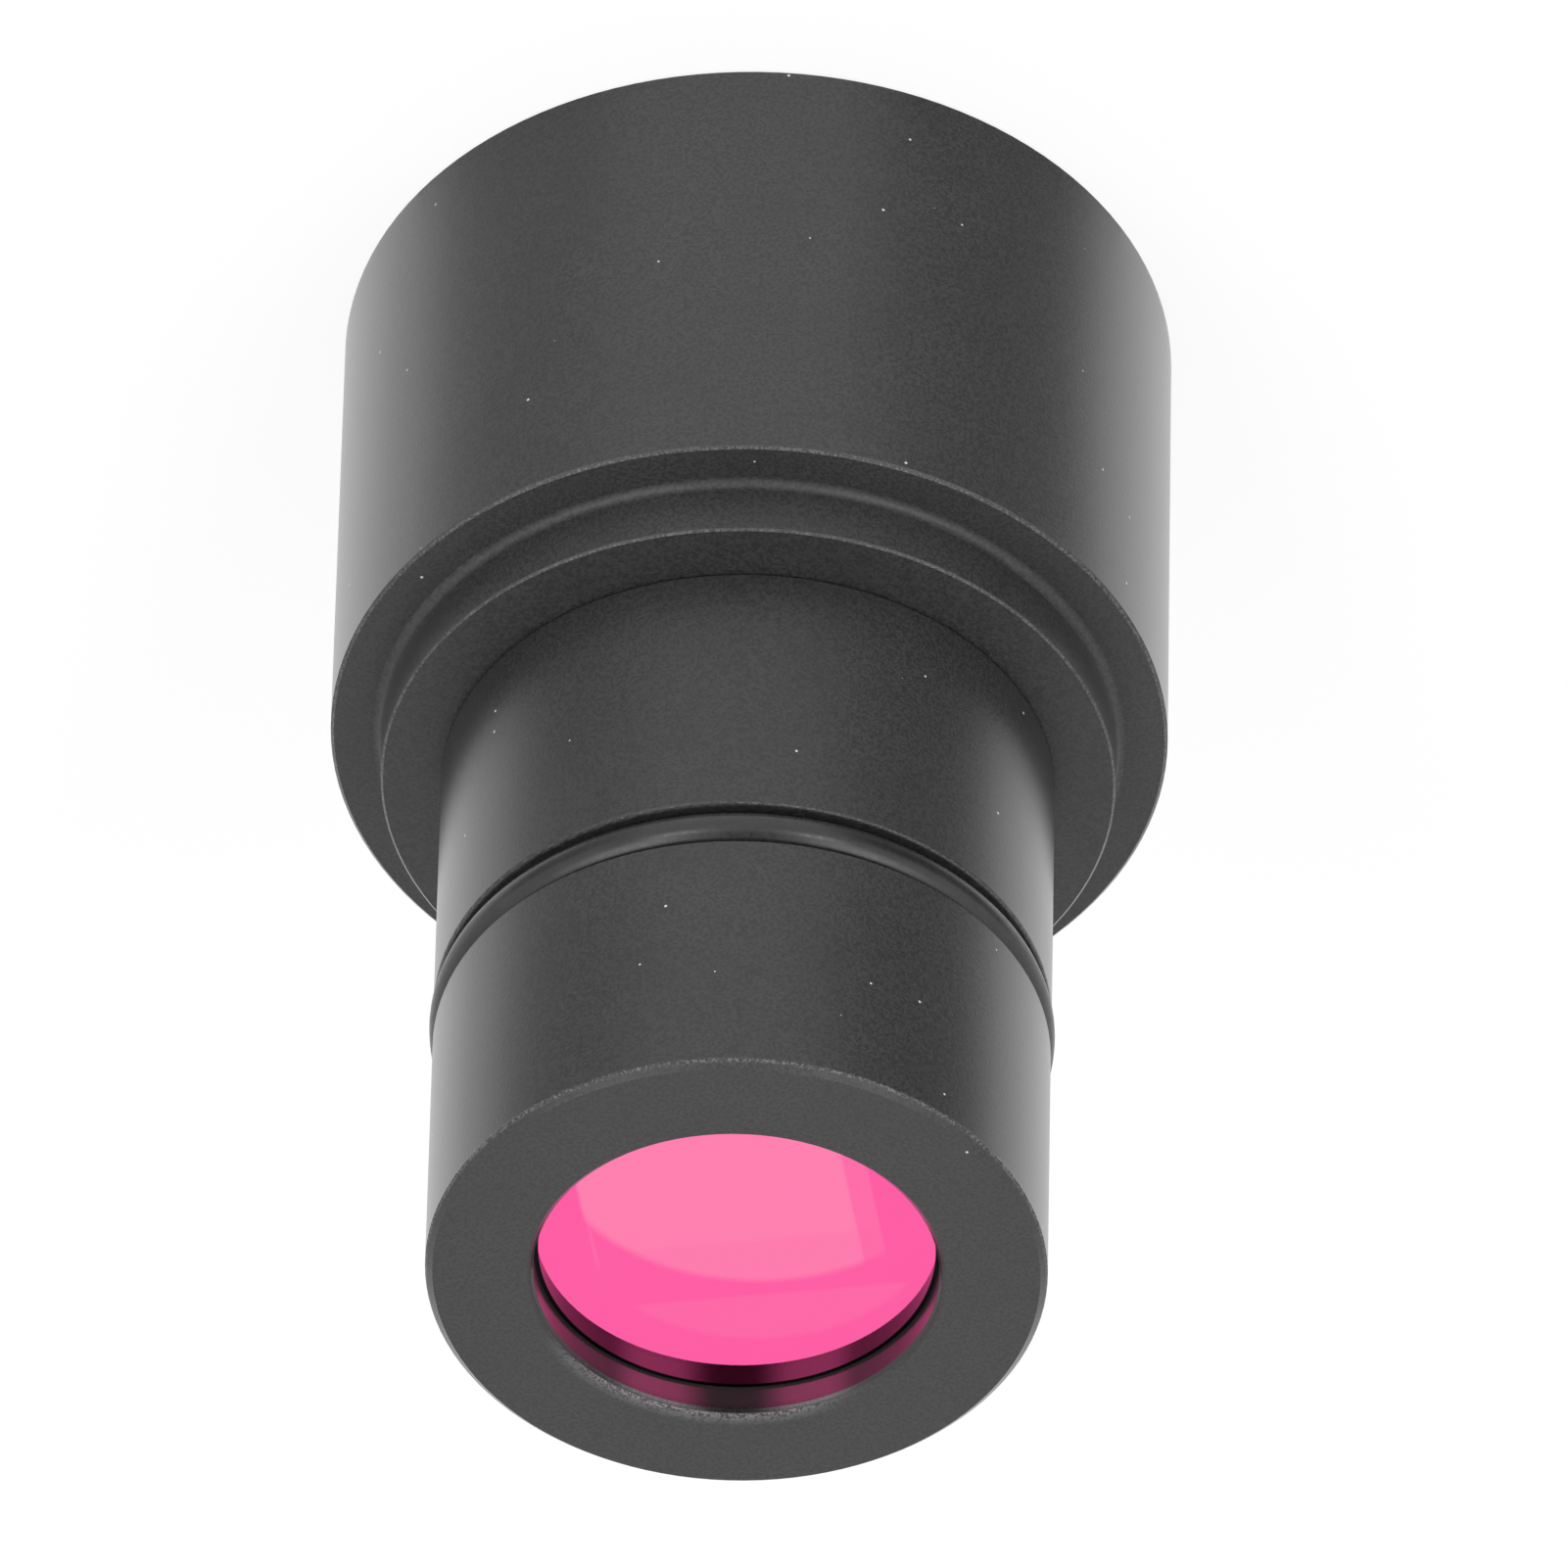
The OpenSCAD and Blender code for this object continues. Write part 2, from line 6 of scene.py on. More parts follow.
import bpy
import numpy as np
from mathutils import Matrix, Vector


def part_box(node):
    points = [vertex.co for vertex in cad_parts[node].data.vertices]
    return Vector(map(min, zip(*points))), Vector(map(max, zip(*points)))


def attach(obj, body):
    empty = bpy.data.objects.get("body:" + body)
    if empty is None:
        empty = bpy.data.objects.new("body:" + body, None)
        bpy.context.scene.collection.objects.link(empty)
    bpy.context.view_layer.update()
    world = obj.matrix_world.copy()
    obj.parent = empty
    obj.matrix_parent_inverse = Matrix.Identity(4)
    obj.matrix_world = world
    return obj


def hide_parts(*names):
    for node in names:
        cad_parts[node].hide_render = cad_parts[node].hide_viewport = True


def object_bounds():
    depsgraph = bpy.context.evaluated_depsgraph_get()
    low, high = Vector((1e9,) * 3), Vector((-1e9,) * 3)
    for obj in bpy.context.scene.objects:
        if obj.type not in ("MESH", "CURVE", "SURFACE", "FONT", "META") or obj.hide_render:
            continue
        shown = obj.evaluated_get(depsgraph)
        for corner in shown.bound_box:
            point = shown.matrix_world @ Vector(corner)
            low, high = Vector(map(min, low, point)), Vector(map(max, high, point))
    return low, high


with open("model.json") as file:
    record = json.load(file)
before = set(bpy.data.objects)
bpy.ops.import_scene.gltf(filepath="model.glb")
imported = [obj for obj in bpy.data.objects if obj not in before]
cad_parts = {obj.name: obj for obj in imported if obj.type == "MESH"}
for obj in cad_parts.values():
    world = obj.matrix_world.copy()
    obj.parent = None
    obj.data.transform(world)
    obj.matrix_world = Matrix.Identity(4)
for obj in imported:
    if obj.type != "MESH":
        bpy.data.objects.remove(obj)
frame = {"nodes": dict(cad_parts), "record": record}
bpy.context.view_layer.update()
cad_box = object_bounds()

MM = 0.001


# ---- mesh making ----

def add_object(name, data):
    """Puts a new object with that mesh, lamp or camera in the scene, at the origin."""
    made = bpy.data.objects.new(name, data)
    bpy.context.scene.collection.objects.link(made)
    return made


def surface(name, points, closed_u, closed_v, smooth=True, caps=()):
    """Makes a piece from a grid of points, points[i, j] = (x, y, z), row i along u and j along v.

    Each cell of the grid is a four-sided face. A closed direction joins its last row to its first.
    Caps are more faces on the same points, numbered row by row.
    """
    rows, cols = points.shape[:2]
    i = np.arange(rows if closed_u else rows - 1)[:, None]
    j = np.arange(cols if closed_v else cols - 1)[None, :]
    i2, j2 = (i + 1) % rows, (j + 1) % cols
    quads = np.stack([i * cols + j, i * cols + j2, i2 * cols + j2, i2 * cols + j], -1)
    mesh = bpy.data.meshes.new(name)
    mesh.from_pydata(points.reshape(-1, 3), [], [*quads.reshape(-1, 4).tolist(), *caps])
    mesh.polygons.foreach_set("use_smooth", np.full(len(mesh.polygons), smooth))
    mesh.update()
    return add_object(name, mesh)


def torus(name, ring_r, cord_r, height, around=384, across=48):
    """A ring: a circle of radius cord_r carried round the Z axis at radius ring_r and that height.

    x = (R + r cos v) cos u, y = (R + r cos v) sin u, z = height + r sin v.
    """
    u = np.linspace(0, 2 * math.pi, around, endpoint=False)[:, None]
    v = np.linspace(0, 2 * math.pi, across, endpoint=False)[None, :]
    out = ring_r + cord_r * np.cos(v)
    points = np.stack([out * np.cos(u), out * np.sin(u), height + cord_r * np.sin(v) + 0 * u], -1)
    return surface(name, points, True, True)


def helix_ridge(name, root_r, crest_r, pitch, z_low, z_high, per_turn=96):
    """A thread ridge: a section of four corners carried up a helix, fading in and out at its ends.

    With u counted in turns, x = r cos 2 pi u, y = r sin 2 pi u and z = z_low + pitch u + the height
    of the corner in the section. The two root corners are 0.9 pitch apart and lie a little below
    root_r, inside the stub. The two crest corners are 0.12 pitch apart at crest_r, and are shrunk
    to the root at both ends, over half a turn.
    """
    half_root, half_crest = 0.45 * pitch, 0.06 * pitch
    buried_r = root_r - 0.1 * MM
    fade_turns = 0.5
    turns = (z_high - z_low) / pitch
    u = np.linspace(0, turns, int(turns * per_turn))[:, None]
    fade = np.clip(np.minimum(u, turns - u) / fade_turns, 0, 1)
    is_crest = np.array([0, 1, 1, 0])[None, :]
    corner_z = np.array([-half_root, -half_crest, half_crest, half_root])[None, :]
    radius = buried_r + (crest_r - buried_r) * is_crest * fade
    height = z_low + u * pitch + corner_z
    angle = 2 * math.pi * u
    points = np.stack([radius * np.cos(angle), radius * np.sin(angle), height], -1)
    last = 4 * (len(u) - 1)
    caps = [(3, 2, 1, 0), (last, last + 1, last + 2, last + 3)]
    return surface(name, points, False, True, smooth=False, caps=caps)


# ---- node building ----

def node(tree, kind, values=None, **settings):
    """Adds a shader node of that kind with its settings. Values are set or linked to its inputs."""
    made = tree.nodes.new("ShaderNode" + kind)
    for key, value in settings.items():
        setattr(made, key, value)
    for key, value in (values or {}).items():
        if isinstance(value, bpy.types.NodeSocket):
            tree.links.new(value, made.inputs[key])
        else:
            made.inputs[key].default_value = value
    return made


def math_node(tree, operation, *values, clamp=False):
    """A Math node's output, for one to three values or sockets."""
    made = node(tree, "Math", dict(enumerate(values)), operation=operation, use_clamp=clamp)
    return made.outputs[0]


def product(tree, first, *others):
    """All the values multiplied together."""
    for other in others:
        first = math_node(tree, "MULTIPLY", first, other)
    return first


def distance(tree, first, second):
    """The length of a flat vector with these two parts."""
    squares = math_node(tree, "MULTIPLY_ADD", first, first, product(tree, second, second))
    return math_node(tree, "SQRT", squares)


def ramp(tree, value, low, high, out_low=0.0, out_high=1.0):
    """Maps value from low..high to out_low..out_high, smoothly and clamped. Low may exceed high."""
    values = {"Value": value, "From Min": low, "From Max": high,
              "To Min": out_low, "To Max": out_high}
    return node(tree, "MapRange", values, interpolation_type="SMOOTHSTEP").outputs["Result"]


def mix_colour(tree, share, first, second):
    """A colour between first and second, by share. Inputs 6 and 7 of a Mix node are its colours."""
    return node(tree, "Mix", {0: share, 6: first, 7: second}, data_type="RGBA").outputs[2]


def mix_number(tree, share, first, second):
    """A number between first and second, by share. Inputs 2 and 3 of a Mix node are its numbers."""
    return node(tree, "Mix", {0: share, 2: first, 3: second}).outputs[0]


def object_place(tree):
    """Object coordinates in millimetres."""
    place = node(tree, "TexCoord").outputs["Object"]
    return node(tree, "VectorMath", {0: place, "Scale": 1 / MM}, operation="SCALE").outputs[0]


def split(tree, vector):
    """The X, Y and Z of a vector."""
    return node(tree, "SeparateXYZ", {0: vector}).outputs


def noise(tree, place, size, detail, roughness):
    """A noise pattern whose features are about size across."""
    scale = math_node(tree, "DIVIDE", 1.0, size)
    values = {"Vector": place, "Scale": scale, "Detail": detail, "Roughness": roughness}
    return node(tree, "TexNoise", values).outputs["Fac"]


def new_group(name, inputs, outputs):
    """A shader node group with number inputs {name: value} and number outputs of these names."""
    tree = bpy.data.node_groups.new(name, "ShaderNodeTree")
    for key, value in inputs.items():
        socket = tree.interface.new_socket(key, in_out="INPUT", socket_type="NodeSocketFloat")
        socket.default_value = value
    for key in outputs:
        tree.interface.new_socket(key, in_out="OUTPUT", socket_type="NodeSocketFloat")
    start = tree.nodes.new("NodeGroupInput")
    end = tree.nodes.new("NodeGroupOutput")
    return tree, start.outputs, end.inputs


def use_group(tree, group, **values):
    """Places a group in a material with its own values, and returns its outputs.

    The value side_end sets the input called Side end.
    """
    made = tree.nodes.new("ShaderNodeGroup")
    made.node_tree = group
    for key, value in values.items():
        made.inputs[key.replace("_", " ").capitalize()].default_value = value
    return made.outputs


# ---- effects that several materials share ----

NOISE_SPAN = (0.3, 0.7)  # where most of the values of a noise pattern lie


def make_grain():
    """Bead-blasted or moulded grain, with sizes in mm.

    The output Height is a pattern of pits about Size across. The output Mottle is one of slow
    patches, about the input Mottle across.
    """
    tree, given, made = new_group("grain", {"Size": 0.15, "Mottle": 4.0}, ["Height", "Mottle"])
    place = object_place(tree)
    fine = noise(tree, place, given["Size"], detail=2.0, roughness=0.6)
    slow = noise(tree, place, given["Mottle"], detail=3.0, roughness=0.55)
    tree.links.new(fine, made["Height"])
    tree.links.new(ramp(tree, slow, *NOISE_SPAN), made["Mottle"])
    return tree


def make_dust():
    """Sparse dust: small round specks, each in its own cell of a Voronoi pattern, few cells in use.

    Size is a speck's radius and Spacing the cells' width, in mm. Share is how many cells hold one.
    """
    inputs = {"Spacing": 2.5, "Size": 0.07, "Share": 0.1}
    tree, given, made = new_group("dust", inputs, ["Mask"])
    scale = math_node(tree, "DIVIDE", 1.0, given["Spacing"])
    cells = node(tree, "TexVoronoi", {"Vector": object_place(tree), "Scale": scale}, feature="F1")
    reach = math_node(tree, "DIVIDE", given["Size"], given["Spacing"])
    near = math_node(tree, "LESS_THAN", cells.outputs["Distance"], reach)
    pick = node(tree, "SeparateColor", {"Color": cells.outputs["Color"]}).outputs["Red"]
    used = math_node(tree, "LESS_THAN", pick, given["Share"])
    tree.links.new(product(tree, near, used), made["Mask"])
    return tree


def make_worn_edge_and_highlight():
    """Worn corner of a turned part, and a painted highlight where it is kept to one side: broken
    specks within Width of the circle Radius, Height.

    These are in mm, and so is the specks' size, Chip. The lower Cover, the more of them. The
    specks are on the side that the direction Side x, Side y points to, as far round as where its
    cosine falls to Side end. With Side end at -2 they go all the way round, as wear; kept to one
    side, they are a painted highlight where the light falls on that side.
    """
    cover_soft, side_soft = 0.2, 0.3
    inputs = {"Radius": 20.0, "Height": 0.0, "Width": 0.2, "Chip": 0.16, "Cover": 0.42,
              "Side x": 0.0, "Side y": 1.0, "Side end": -2.0}
    tree, given, made = new_group("worn and highlight edge", inputs, ["Mask"])
    place = object_place(tree)
    xyz = split(tree, place)
    reach = distance(tree, xyz["X"], xyz["Y"])
    out = math_node(tree, "SUBTRACT", reach, given["Radius"])
    up = math_node(tree, "SUBTRACT", xyz["Z"], given["Height"])
    away = math_node(tree, "DIVIDE", distance(tree, out, up), given["Width"])
    near = math_node(tree, "SUBTRACT", 1.0, away, clamp=True)
    chips = noise(tree, place, given["Chip"], detail=2.0, roughness=0.6)
    worn = ramp(tree, chips, given["Cover"], math_node(tree, "ADD", given["Cover"], cover_soft))
    along = math_node(tree, "MULTIPLY_ADD", xyz["X"], given["Side x"],
                      product(tree, xyz["Y"], given["Side y"]))
    cosine = math_node(tree, "DIVIDE", along, reach)
    side_full = math_node(tree, "ADD", given["Side end"], side_soft)
    sided = ramp(tree, cosine, given["Side end"], side_full)
    tree.links.new(product(tree, worn, sided, near), made["Mask"])
    return tree


GRAIN = make_grain()
DUST = make_dust()
WORN_EDGE_AND_HIGHLIGHT = make_worn_edge_and_highlight()


# ---- materials ----

def grey(level):
    """A neutral colour of that level."""
    return (level, level, level, 1)


def shaded(colour, share):
    """A colour brought down to a share of its brightness."""
    return (*(share * part for part in colour), 1)


def finish_named(name):
    """A new material, its node tree and the inputs of its Principled BSDF."""
    made = bpy.data.materials.new(name)
    made.use_nodes = True
    return made, made.node_tree, made.node_tree.nodes["Principled BSDF"].inputs


def bump(tree, height, depth):
    """The normal of a bump pattern whose full height is depth, in mm."""
    values = {"Height": height, "Distance": depth * MM, "Strength": 1.0}
    return node(tree, "Bump", values).outputs["Normal"]


def anodised(name, painted_lightness, edges, bore=0.0):
    """Bead-blasted aluminium, anodised black.

    It has a grain of paler and darker pits, and dust, and its gloss sharpens where it is seen
    edge-on. The number after the name scales its colour: above 1 the copy is painted lighter,
    standing in for more light on that part. Its edges are worn, each given by its values for the
    edge group, and one of them can carry a painted highlight. Inside the radius bore, in mm, it is
    smooth, as it was turned.
    """
    # The colour is scaled by the painted lightness: a copy painted lighter stands in for more
    # light.
    dark, pale = grey(0.016 * painted_lightness), grey(0.032 * painted_lightness)
    # The paler grey of worn edges, also used for the painted highlight at the mouth of the bore.
    wear_and_highlight_grey = (0.16, 0.16, 0.165, 1)
    dusty = (0.5, 0.49, 0.47, 1)
    bore_colour = (0.02, 0.019, 0.02, 1)
    face_rough, limb_rough, pit_rough, bore_rough = 0.42, 0.25, 0.1, 0.17
    limb_coat, coat_rough = 0.5, 0.28
    rough_span, coat_span = (0.3, 0.75), (0.35, 0.8)
    pit_low, pit_high, pit_depth = 0.36, 0.64, 0.016
    wear_and_highlight_rise, wear_and_highlight_metal = 2.0, 0.7
    mottle_share, bore_soft = 0.25, 0.02

    made, tree, bsdf = finish_named(name)
    grain = use_group(tree, GRAIN, size=0.19, mottle=5.0)
    dust = use_group(tree, DUST, spacing=1.3, size=0.08, share=0.14)["Mask"]
    wear_and_highlight = 0.0
    for edge in edges:
        wear_and_highlight = math_node(tree, "MAXIMUM", wear_and_highlight, use_group(tree, WORN_EDGE_AND_HIGHLIGHT, **edge)["Mask"])
    xyz = split(tree, object_place(tree))
    inside = ramp(tree, distance(tree, xyz["X"], xyz["Y"]), bore + bore_soft, bore - bore_soft)

    colour = mix_colour(tree, ramp(tree, grain["Height"], pit_low, pit_high), dark, pale)
    colour = mix_colour(tree, product(tree, grain["Mottle"], mottle_share), colour, dark)
    # Paler grey where the edges are worn, and at the mouth of the bore a painted highlight.
    colour = mix_colour(tree, wear_and_highlight, colour, wear_and_highlight_grey)
    colour = mix_colour(tree, dust, colour, dusty)
    tree.links.new(mix_colour(tree, inside, colour, bore_colour), bsdf["Base Color"])

    facing = node(tree, "LayerWeight", {"Blend": 0.5}).outputs["Facing"]
    blasted = math_node(tree, "MULTIPLY_ADD", grain["Height"], pit_rough,
                        ramp(tree, facing, *rough_span, face_rough, limb_rough))
    tree.links.new(mix_number(tree, inside, blasted, bore_rough), bsdf["Roughness"])
    tree.links.new(ramp(tree, facing, *coat_span, 0.0, limb_coat), bsdf["Coat Weight"])
    bsdf["Coat Roughness"].default_value = coat_rough

    height = math_node(tree, "MULTIPLY_ADD", wear_and_highlight, wear_and_highlight_rise, grain["Height"])
    height = product(tree, height, math_node(tree, "SUBTRACT", 1.0, inside))
    tree.links.new(bump(tree, height, pit_depth), bsdf["Normal"])
    tree.links.new(product(tree, wear_and_highlight, wear_and_highlight_metal), bsdf["Metallic"])
    return made


def pink_filter(name):
    """An interference filter that mirrors pink, with a black margin.

    The tube behind it shows faintly through as a painted reflection: a paler patch with two
    straight sides and a strip of half its strength beside the far one, ended by the edge of a round
    stop. Below it is a fainter painted patch, ended by the retaining ring, and a thin painted
    streak follows the first side. Places are in mm on the glass. The sides lie at values of
    x + side_slope y, and the folds at those of y + fold_slope x. A circle is its centre's x and y,
    its radius, and how soft its edge is.
    """
    pink, other_pink = (0.99, 0.109, 0.368, 1), (0.99, 0.114, 0.378, 1)
    # The paler pink is the colour of the painted reflection seen through the glass.
    painted_reflection_pink, margin_black = (0.99, 0.215, 0.43, 1), grey(0.01)
    side_slope, fold_slope = 0.17, -0.16
    first_side, far_side, strip_side = (7.6, 7.3), (-7.7, -7.5), (-6.5, -6.3)
    pane_fold, lower_fold = (-0.9, -0.4), (3.3, 3.7)
    line_inner, line_outer, line_end = (7.15, 7.3), (7.45, 7.3), (2.0, 1.2)
    strip_share, folded_share, lower_share, line_share = 0.4, 0.85, 0.25, 0.3
    stop, ring = (-0.8, -8.5, 10.75, 0.35), (-0.8, -2.8, 9.4, 0.3)
    margin_span = (10.1, 10.14)
    glass_rough = 0.03

    made, tree, bsdf = finish_named(name)
    grain = use_group(tree, GRAIN, size=0.5, mottle=6.0)
    xyz = split(tree, object_place(tree))
    x, y = xyz["X"], xyz["Y"]
    side = math_node(tree, "MULTIPLY_ADD", y, side_slope, x)
    fold = math_node(tree, "MULTIPLY_ADD", x, fold_slope, y)

    def within(centre_x, centre_y, radius, soft):
        """1 inside a circle on the glass, 0 outside."""
        off_x = math_node(tree, "SUBTRACT", x, centre_x)
        off_y = math_node(tree, "SUBTRACT", y, centre_y)
        return ramp(tree, distance(tree, off_x, off_y), radius + soft, radius - soft)

    # Painted reflection: a paler patch inside the round stop, between the two straight sides.
    painted_reflection_pane = product(tree, within(*stop), ramp(tree, side, *first_side), ramp(tree, side, *far_side),
                   ramp(tree, side, *strip_side, strip_share, 1.0),
                   ramp(tree, fold, *pane_fold, 1.0, folded_share))
    lower_painted_reflection = product(tree, within(*ring), ramp(tree, fold, *lower_fold, 0.0, lower_share))
    painted_reflection_line = product(tree, ramp(tree, side, *line_inner), ramp(tree, y, *line_end),
                   ramp(tree, side, *line_outer, 0.0, line_share))

    # All of the painted reflection together: the two paler patches and the thin streak.
    pale = math_node(tree, "MAXIMUM", painted_reflection_pane, math_node(tree, "MAXIMUM", lower_painted_reflection, painted_reflection_line))
    colour = mix_colour(tree, grain["Mottle"], pink, other_pink)
    colour = mix_colour(tree, pale, colour, painted_reflection_pink)
    margin = ramp(tree, distance(tree, x, y), *margin_span)
    tree.links.new(mix_colour(tree, margin, colour, margin_black), bsdf["Base Color"])
    bsdf["Metallic"].default_value = 1.0
    bsdf["Roughness"].default_value = glass_rough
    return made


def grained(name, dark, pale, rough, play, size, mottle, depth):
    """A finish with patches from dark to pale, and a grain of pits size across and depth deep.

    Its roughness is rough, give or take play, with the grain. Lengths are in mm.
    """
    made, tree, bsdf = finish_named(name)
    grain = use_group(tree, GRAIN, size=size, mottle=mottle)
    tree.links.new(mix_colour(tree, grain["Mottle"], dark, pale), bsdf["Base Color"])
    roughness = ramp(tree, grain["Height"], *NOISE_SPAN, rough - play, rough + play)
    tree.links.new(roughness, bsdf["Roughness"])
    tree.links.new(bump(tree, grain["Height"], depth), bsdf["Normal"])
    return made, bsdf


def rubber(name):
    """Smooth black rubber with a faint skin."""
    return grained(name, grey(0.012), grey(0.02), 0.3, 0.04, size=0.3, mottle=3.0, depth=0.002)[0]


def metal(name, colour, rough):
    """Plain metal with a slight grain."""
    made, bsdf = grained(name, shaded(colour, 0.85), shaded(colour, 1), rough, 0.06,
                         size=0.2, mottle=2.0, depth=0.002)
    bsdf["Metallic"].default_value = 1.0
    return made


def plastic(name, colour, rough, size=0.15, depth=0.004):
    """Moulded plastic, board, ceramic or foam, with its grain."""
    return grained(name, shaded(colour, 0.8), shaded(colour, 1), rough, 0.05,
                   size=size, mottle=3.0, depth=depth)[0]


# Where the finish is rubbed, in mm: the drum's front rim, the boss's rim, the drum's back rim.
BODY_EDGES = [
    dict(radius=21.62, height=27.4, width=0.17),
    dict(radius=18.97, height=30.7, width=0.13),
    dict(radius=21.6, height=0.0, width=0.2),
]
# The tip's rim and the neck's rim at the groove, worn, and one side of the mouth of the bore,
# where the paler specks are a painted highlight over the wear.
NOSE_EDGES = [
    dict(radius=15.8, height=64.86, width=0.17),
    dict(radius=15.85, height=47.05, width=0.14),
    # A painted highlight with wear specks: a wide band kept to the side of the mouth that the light
    # falls on.
    dict(radius=10.6, height=65.1, width=0.66, chip=0.13, cover=0.35,
         side_x=0.26, side_y=0.97, side_end=0.62),
]
NOSE_BORE_R = 10.5

MATERIALS = {
    # The body's copy of the anodising is painted 10% lighter than the nose's, standing in for the
    # light on the body.
    "body_anodised": anodised("body anodised", painted_lightness=1.1, edges=BODY_EDGES),
    "nose_anodised": anodised("nose anodised", painted_lightness=1.0, edges=NOSE_EDGES, bore=NOSE_BORE_R),
    "black_screw": metal("black screw", (0.07, 0.07, 0.075), 0.35),
    "circuit_board": plastic("circuit board", (0.02, 0.13, 0.06), 0.35),
    "chip": plastic("chip", (0.035, 0.035, 0.038), 0.55),
    "plated_steel": metal("plated steel", (0.66, 0.64, 0.6), 0.3),
    "capacitor_can": metal("capacitor can", (0.75, 0.75, 0.76), 0.3),
    "black_plastic": plastic("black plastic", (0.02, 0.02, 0.022), 0.45),
    "white_plastic": plastic("white plastic", (0.8, 0.79, 0.75), 0.45),
    "standoff_brass": metal("standoff brass", (0.75, 0.56, 0.27), 0.3),
    "gold_contact": metal("gold contact", (0.9, 0.66, 0.3), 0.25),
    "sensor_ceramic": plastic("sensor ceramic", (0.2, 0.18, 0.16), 0.6),
    "sensor_silicon": plastic("sensor silicon", (0.05, 0.06, 0.09), 0.15),
    "cover_glass": plastic("cover glass", (0.3, 0.33, 0.33), 0.1),
    "gasket_foam": plastic("gasket foam", (0.02, 0.02, 0.02), 0.9, size=0.4, depth=0.05),
    "oring_rubber": rubber("O-ring rubber"),
    "filter_pink": pink_filter("pink filter"),
}


def dress(piece, slot):
    """Gives a piece the finish of a material slot."""
    piece.data.materials.clear()
    piece.data.materials.append(MATERIALS[slot])


for entry in frame["record"]["subparts"]:
    dress(frame["nodes"][entry["node"]], entry["material_slot"])


# ---- pieces ----

ring_low, ring_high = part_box("nose_oring")
cord_r = (ring_high.z - ring_low.z) / 2
oring = torus("oring", ring_high.x - cord_r, cord_r, (ring_low.z + ring_high.z) / 2)
dress(oring, "oring_rubber")
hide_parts("nose_oring")
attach(oring, "grip_ring")

THREAD_ROOT_R = 12.15 * MM
THREAD_CREST_R = 12.6 * MM
THREAD_PITCH = 0.794 * MM

boss_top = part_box("body_shell")[1].z
stub_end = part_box("nose_tube")[0].z
thread = helix_ridge("nose_thread", THREAD_ROOT_R, THREAD_CREST_R, THREAD_PITCH,
                     stub_end + THREAD_PITCH, boss_top - THREAD_PITCH)
dress(thread, "nose_anodised")
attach(thread, "nosepiece")


# ---- floor, light and camera ----

def direction(azimuth, elevation):
    """The unit vector at an azimuth, counted from -Y towards +X, and an elevation, in degrees."""
    a, e = math.radians(azimuth), math.radians(elevation)
    return Vector((math.sin(a) * math.cos(e), -math.cos(a) * math.cos(e), math.sin(e)))


def pale_floor():
    """A wide pale floor, near white where it is open, with the object's soft shadow.

    It is a flat square: x and y run from -half to half. It lies a hair below the object and is
    clear from below, and to what nearly touches it, so that the back of the camera is lit and can
    be looked at from underneath.
    """
    half, drop = 8.0, -0.03 * MM
    floor_colour, floor_rough = grey(0.92), 0.9
    white_share = 0.85
    touch = 1 * MM

    x, y = np.meshgrid([-half, half], [-half, half])
    floor = surface("floor", np.stack([x, y, 0 * x + drop], -1), False, False)
    made, tree, bsdf = finish_named("pale floor")
    bsdf["Base Color"].default_value = floor_colour
    bsdf["Roughness"].default_value = floor_rough
    bsdf["Specular IOR Level"].default_value = 0.0
    path = node(tree, "LightPath").outputs
    seen = math_node(tree, "MAXIMUM", path["Is Camera Ray"], path["Is Glossy Ray"])
    seen = math_node(tree, "MAXIMUM", seen, path["Is Transmission Ray"])
    white = node(tree, "Emission", {"Color": grey(1), "Strength": 1.0}).outputs[0]
    blend = node(tree, "MixShader", {0: product(tree, seen, white_share),
                                     1: tree.nodes["Principled BSDF"].outputs[0], 2: white})
    touching = math_node(tree, "LESS_THAN", path["Ray Length"], touch)
    clear = math_node(tree, "MAXIMUM", touching, node(tree, "NewGeometry").outputs["Backfacing"])
    whole = node(tree, "MixShader", {0: clear, 1: blend.outputs[0],
                                     2: node(tree, "BsdfTransparent").outputs[0]})
    tree.links.new(whole.outputs[0], tree.nodes["Material Output"].inputs["Surface"])
    floor.data.materials.append(made)


def card(name, spread, near_shade, far_shade):
    """A card of painted shade on the floor beside the object, seen only in its reflections.

    Its lines leave the foot of the body at wall angle w and run outwards at azimuth 2 w, the way
    the wall mirrors a view along the floor: x = R sin w + d sin 2w, y = -R cos w - d cos 2w.
    Across, the card fades from white to its shade and back over the four wall angles in spread, in
    degrees. Along, its shade runs from near_shade to far_shade over the first quarter.
    """
    wall_r = cad_box[1].x
    length, lift = 240 * MM, 0.2 * MM
    lines, steps = 80, 16
    settled_at = 0.25
    card_rough = 0.9

    wall = np.radians(np.linspace(spread[0], spread[3], lines))[:, None]
    out = np.linspace(0, 1, steps)[None, :]
    x = wall_r * np.sin(wall) + out * length * np.sin(2 * wall)
    y = -wall_r * np.cos(wall) - out * length * np.cos(2 * wall)
    sheet = surface(name, np.stack([x, y, 0 * x + lift], -1), False, False)
    cover = np.interp(np.abs(wall), np.radians(np.abs(spread)), [0.0, 1.0, 1.0, 0.0])
    cover = cover * cover * (3 - 2 * cover)
    shade = near_shade + (far_shade - near_shade) * np.clip(out / settled_at, 0, 1)
    shade = 1 - (1 - shade) * cover
    painted_lightness = sheet.data.attributes.new("shade", "FLOAT", "POINT")
    painted_lightness.data.foreach_set("value", shade.ravel().astype(np.float32))
    made, tree, bsdf = finish_named(name)
    level = node(tree, "Attribute", attribute_name="shade").outputs["Fac"]
    tree.links.new(level, bsdf["Base Color"])
    bsdf["Roughness"].default_value = card_rough
    sheet.data.materials.append(made)
    sheet.visible_camera = False
    sheet.visible_diffuse = False
    sheet.visible_shadow = False


